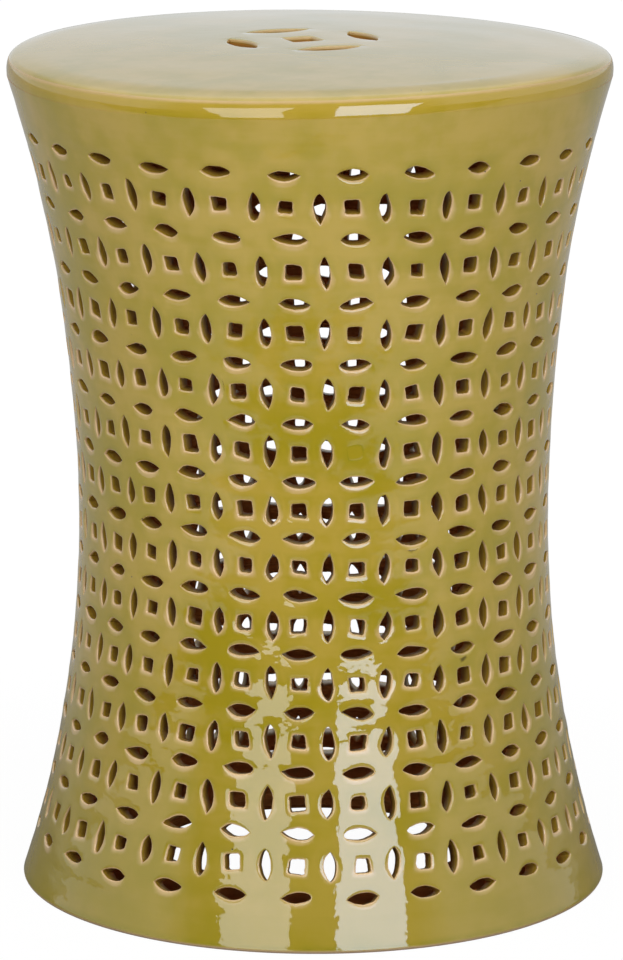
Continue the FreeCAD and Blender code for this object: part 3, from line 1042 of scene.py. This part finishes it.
studio = {
    "centreHeight": 0.23,
    "leftLamp": (-1, (14.0, 57.0), 4.8),  # side of the camera, degrees from it, and strength
    "rightLamp": (1, (8.5, 42.0), 8.2),
    "lampDistance": 1.5,
    "lampShare": 0.42,
    "lampRise": (6.0, 38.0),
    "panelPlane": 1.2,  # the panels that the glaze mirrors stand this far in front of the stool
    "leftPanel": [  # corners: to the right, and up
        (-0.18, 0.06), (-0.7, 0.06), (-0.74, 0.25), (-0.875, 0.41), (-0.95, 0.72), (-0.113, 0.7), (-0.155, 0.58),
        (-0.205, 0.41), (-0.185, 0.25),
    ],
    "rightPanel": [
        (0.2, 0.065), (0.76, 0.045), (0.84, 0.25), (0.852, 0.41), (1.0, 0.74), (0.205, 0.7), (0.19, 0.41),
        (0.195, 0.25),
    ],
    "leftGlow": (3.4, 3.5, 3.65, 1),
    "rightGlow": (4.6, 5.4, 6.8, 1),
    "skyLight": 0.8,  # the plain fill comes from above, with this share of it from low down
    "lowShare": 0.08,
    "skyRise": (0.1, 0.9),
    "frontGlow": 0.16,  # the glaze mirrors a dim room in front, white behind, and a reflector overhead
    "roomEnd": (-0.74, -0.45),
    "backGlow": (0.86, 0.91, 0.965, 1),
    "ceilingGlow": 1.3,
    "ceilingRise": (0.4, 0.85),
    "floorSize": 12.0,
    "paperEnd": -0.74,  # the paper on the floor ends here
    "paperFade": 0.08,
    "beyondPaper": (0.04, 0.04, 0.04, 1),
    # painted shade: the paper is darker near the stool, lighter further out
    "shadedPaperNear": (0.3, 0.3, 0.3, 1),
    "paperFar": (0.7, 0.7, 0.7, 1),
    "paperShadeReach": (0.22, 0.8),
    "paperWhite": 1.08,  # most of what the camera sees of it
    "whiteShare": 0.9,
    "cameraAzimuth": 3.4,
    "cameraDistance": 2.9817,
    "cameraHeight": 0.8926,
    "cameraTilt": 77.269,
    "cameraRoll": 0.087,
    "lens": 211.1,
    "shiftX": 0.00034,
}
white = (1, 1, 1, 1)


def direction(azimuth, elevation):
    # from the stool's middle, azimuth counted from the front to the right
    return aroundAxis(math.cos(math.radians(elevation)), math.radians(azimuth), math.sin(math.radians(elevation)))


def softbox(name, side, span, strength):
    # a large lamp that lights, but isn't mirrored
    low, high = studio["lampRise"]
    back = direction(studio["cameraAzimuth"] + side * sum(span) / 2, (low + high) / 2)
    right = np.cross([0, 0, 1.0], back)
    right /= np.linalg.norm(right)
    distance = studio["lampDistance"]
    lamp = bpy.data.lights.new(name, "AREA")
    lamp.shape = "RECTANGLE"
    lamp.size = 2 * distance * math.tan(math.radians(span[1] - span[0]) / 2)
    lamp.size_y = 2 * distance * math.tan(math.radians(high - low) / 2)
    lamp.energy = strength * 4 * lamp.size * lamp.size_y * studio["lampShare"]
    box = newObject(name, lamp)
    place = back * distance + (0, 0, studio["centreHeight"])
    columns = np.column_stack([right, np.cross(back, right), back, place])
    box.matrix_world = Matrix([*columns.tolist(), (0, 0, 0, 1)])
    box.visible_glossy = False


def glowPanel(name, corners, glow):
    # a glowing sheet that only the glaze mirrors
    toRight, ahead = direction(studio["cameraAzimuth"] + 90, 0), direction(studio["cameraAzimuth"], 0)
    points = [toRight * x + ahead * studio["panelPlane"] + (0, 0, z) for x, z in corners]
    mesh = bpy.data.meshes.new(name)
    mesh.from_pydata([tuple(point) for point in points], [], [tuple(range(len(points)))])
    material, tree = newMaterial(name)
    finish(tree, "Emission", Color=glow)
    mesh.materials.append(material)
    panel = newObject(name, mesh)
    panel.visible_camera = panel.visible_diffuse = panel.visible_transmission = panel.visible_shadow = False


for place in ("left", "right"):
    softbox(place + "Softbox", *studio[place + "Lamp"])
    glowPanel(place + "Panel", studio[place + "Panel"], studio[place + "Glow"])


def studioWorld():
    # white for the camera, what the glaze mirrors, and a plain fill
    world = bpy.data.worlds.new("studio")
    bpy.context.scene.world = world
    tree = emptyTree(world)
    seen = addNode(tree, "LightPath")
    way = addNode(tree, "SeparateXYZ", i0=addNode(tree, "TexCoord")["Generated"])
    room = ramp(tree, way["Y"], *studio["roomEnd"], studio["frontGlow"], 1.0)
    overhead = times(tree, ramp(tree, way["Z"], *studio["ceilingRise"]), studio["ceilingGlow"])
    above = times(tree, ramp(tree, way["Z"], *studio["skyRise"]), 1 - studio["lowShare"])
    fill = times(tree, plus(tree, above, studio["lowShare"]), studio["skyLight"])
    shiny = calculate(tree, "MAXIMUM", seen["Is Glossy Ray"], seen["Is Transmission Ray"])
    lit, mirrored, shown = (
        addNode(tree, "Background", Color=colour, Strength=strength)[0]
        for colour, strength in ((white, fill), (studio["backGlow"], plus(tree, room, overhead)), (white, 1.0))
    )
    sky = addNode(tree, "MixShader", i0=shiny, i1=lit, i2=mirrored)[0]
    sky = addNode(tree, "MixShader", i0=seen["Is Camera Ray"], i1=sky, i2=shown)[0]
    addNode(tree, "OutputWorld", Surface=sky)


studioWorld()


def studioFloor():
    # paper that is painted darker near the stool as painted shade, and dark floor beyond it
    size = studio["floorSize"]
    mesh = bpy.data.meshes.new("floor")
    mesh.from_pydata([(-size, -size, 0), (size, -size, 0), (size, size, 0), (-size, size, 0)], [], [(0, 1, 2, 3)])
    material, tree = newMaterial("whiteFloor")
    place = addNode(tree, "TexCoord")["Object"]
    along = addNode(tree, "SeparateXYZ", i0=place)["Y"]
    distance = addNode(tree, "VectorMath", {"operation": "LENGTH"}, i0=place)["Value"]
    end, fade = studio["paperEnd"], studio["paperFade"]
    # painted shade: the paper is darker near the stool, as if its shade lay there
    paper = blend(tree, ramp(tree, distance, *studio["paperShadeReach"]), studio["shadedPaperNear"], studio["paperFar"])
    tone = blend(tree, ramp(tree, along, end - fade, end + fade), studio["beyondPaper"], paper)
    shown = times(tree, addNode(tree, "LightPath")["Is Camera Ray"], studio["whiteShare"])
    matt = addNode(tree, "BsdfDiffuse", Color=tone)[0]
    glow = addNode(tree, "Emission", Color=white, Strength=studio["paperWhite"])[0]
    finish(tree, "MixShader", i0=shown, i1=matt, i2=glow)
    mesh.materials.append(material)
    plane = newObject("floor", mesh)


studioFloor()


def studioCamera():
    lens = bpy.data.cameras.new("camera")
    lens.sensor_width = 36.0
    lens.lens = studio["lens"]
    lens.shift_x = studio["shiftX"]
    camera = newObject("camera", lens)
    turn = math.radians(studio["cameraAzimuth"])
    camera.location = aroundAxis(studio["cameraDistance"], turn, studio["cameraHeight"])
    aim = Matrix.Rotation(turn, 3, "Z") @ Matrix.Rotation(math.radians(studio["cameraTilt"]), 3, "X")
    camera.rotation_euler = (aim @ Matrix.Rotation(math.radians(studio["cameraRoll"]), 3, "Z")).to_euler()
    bpy.context.scene.camera = camera


studioCamera()
bpy.context.scene.view_settings.view_transform = "Standard"
print("studio ready")
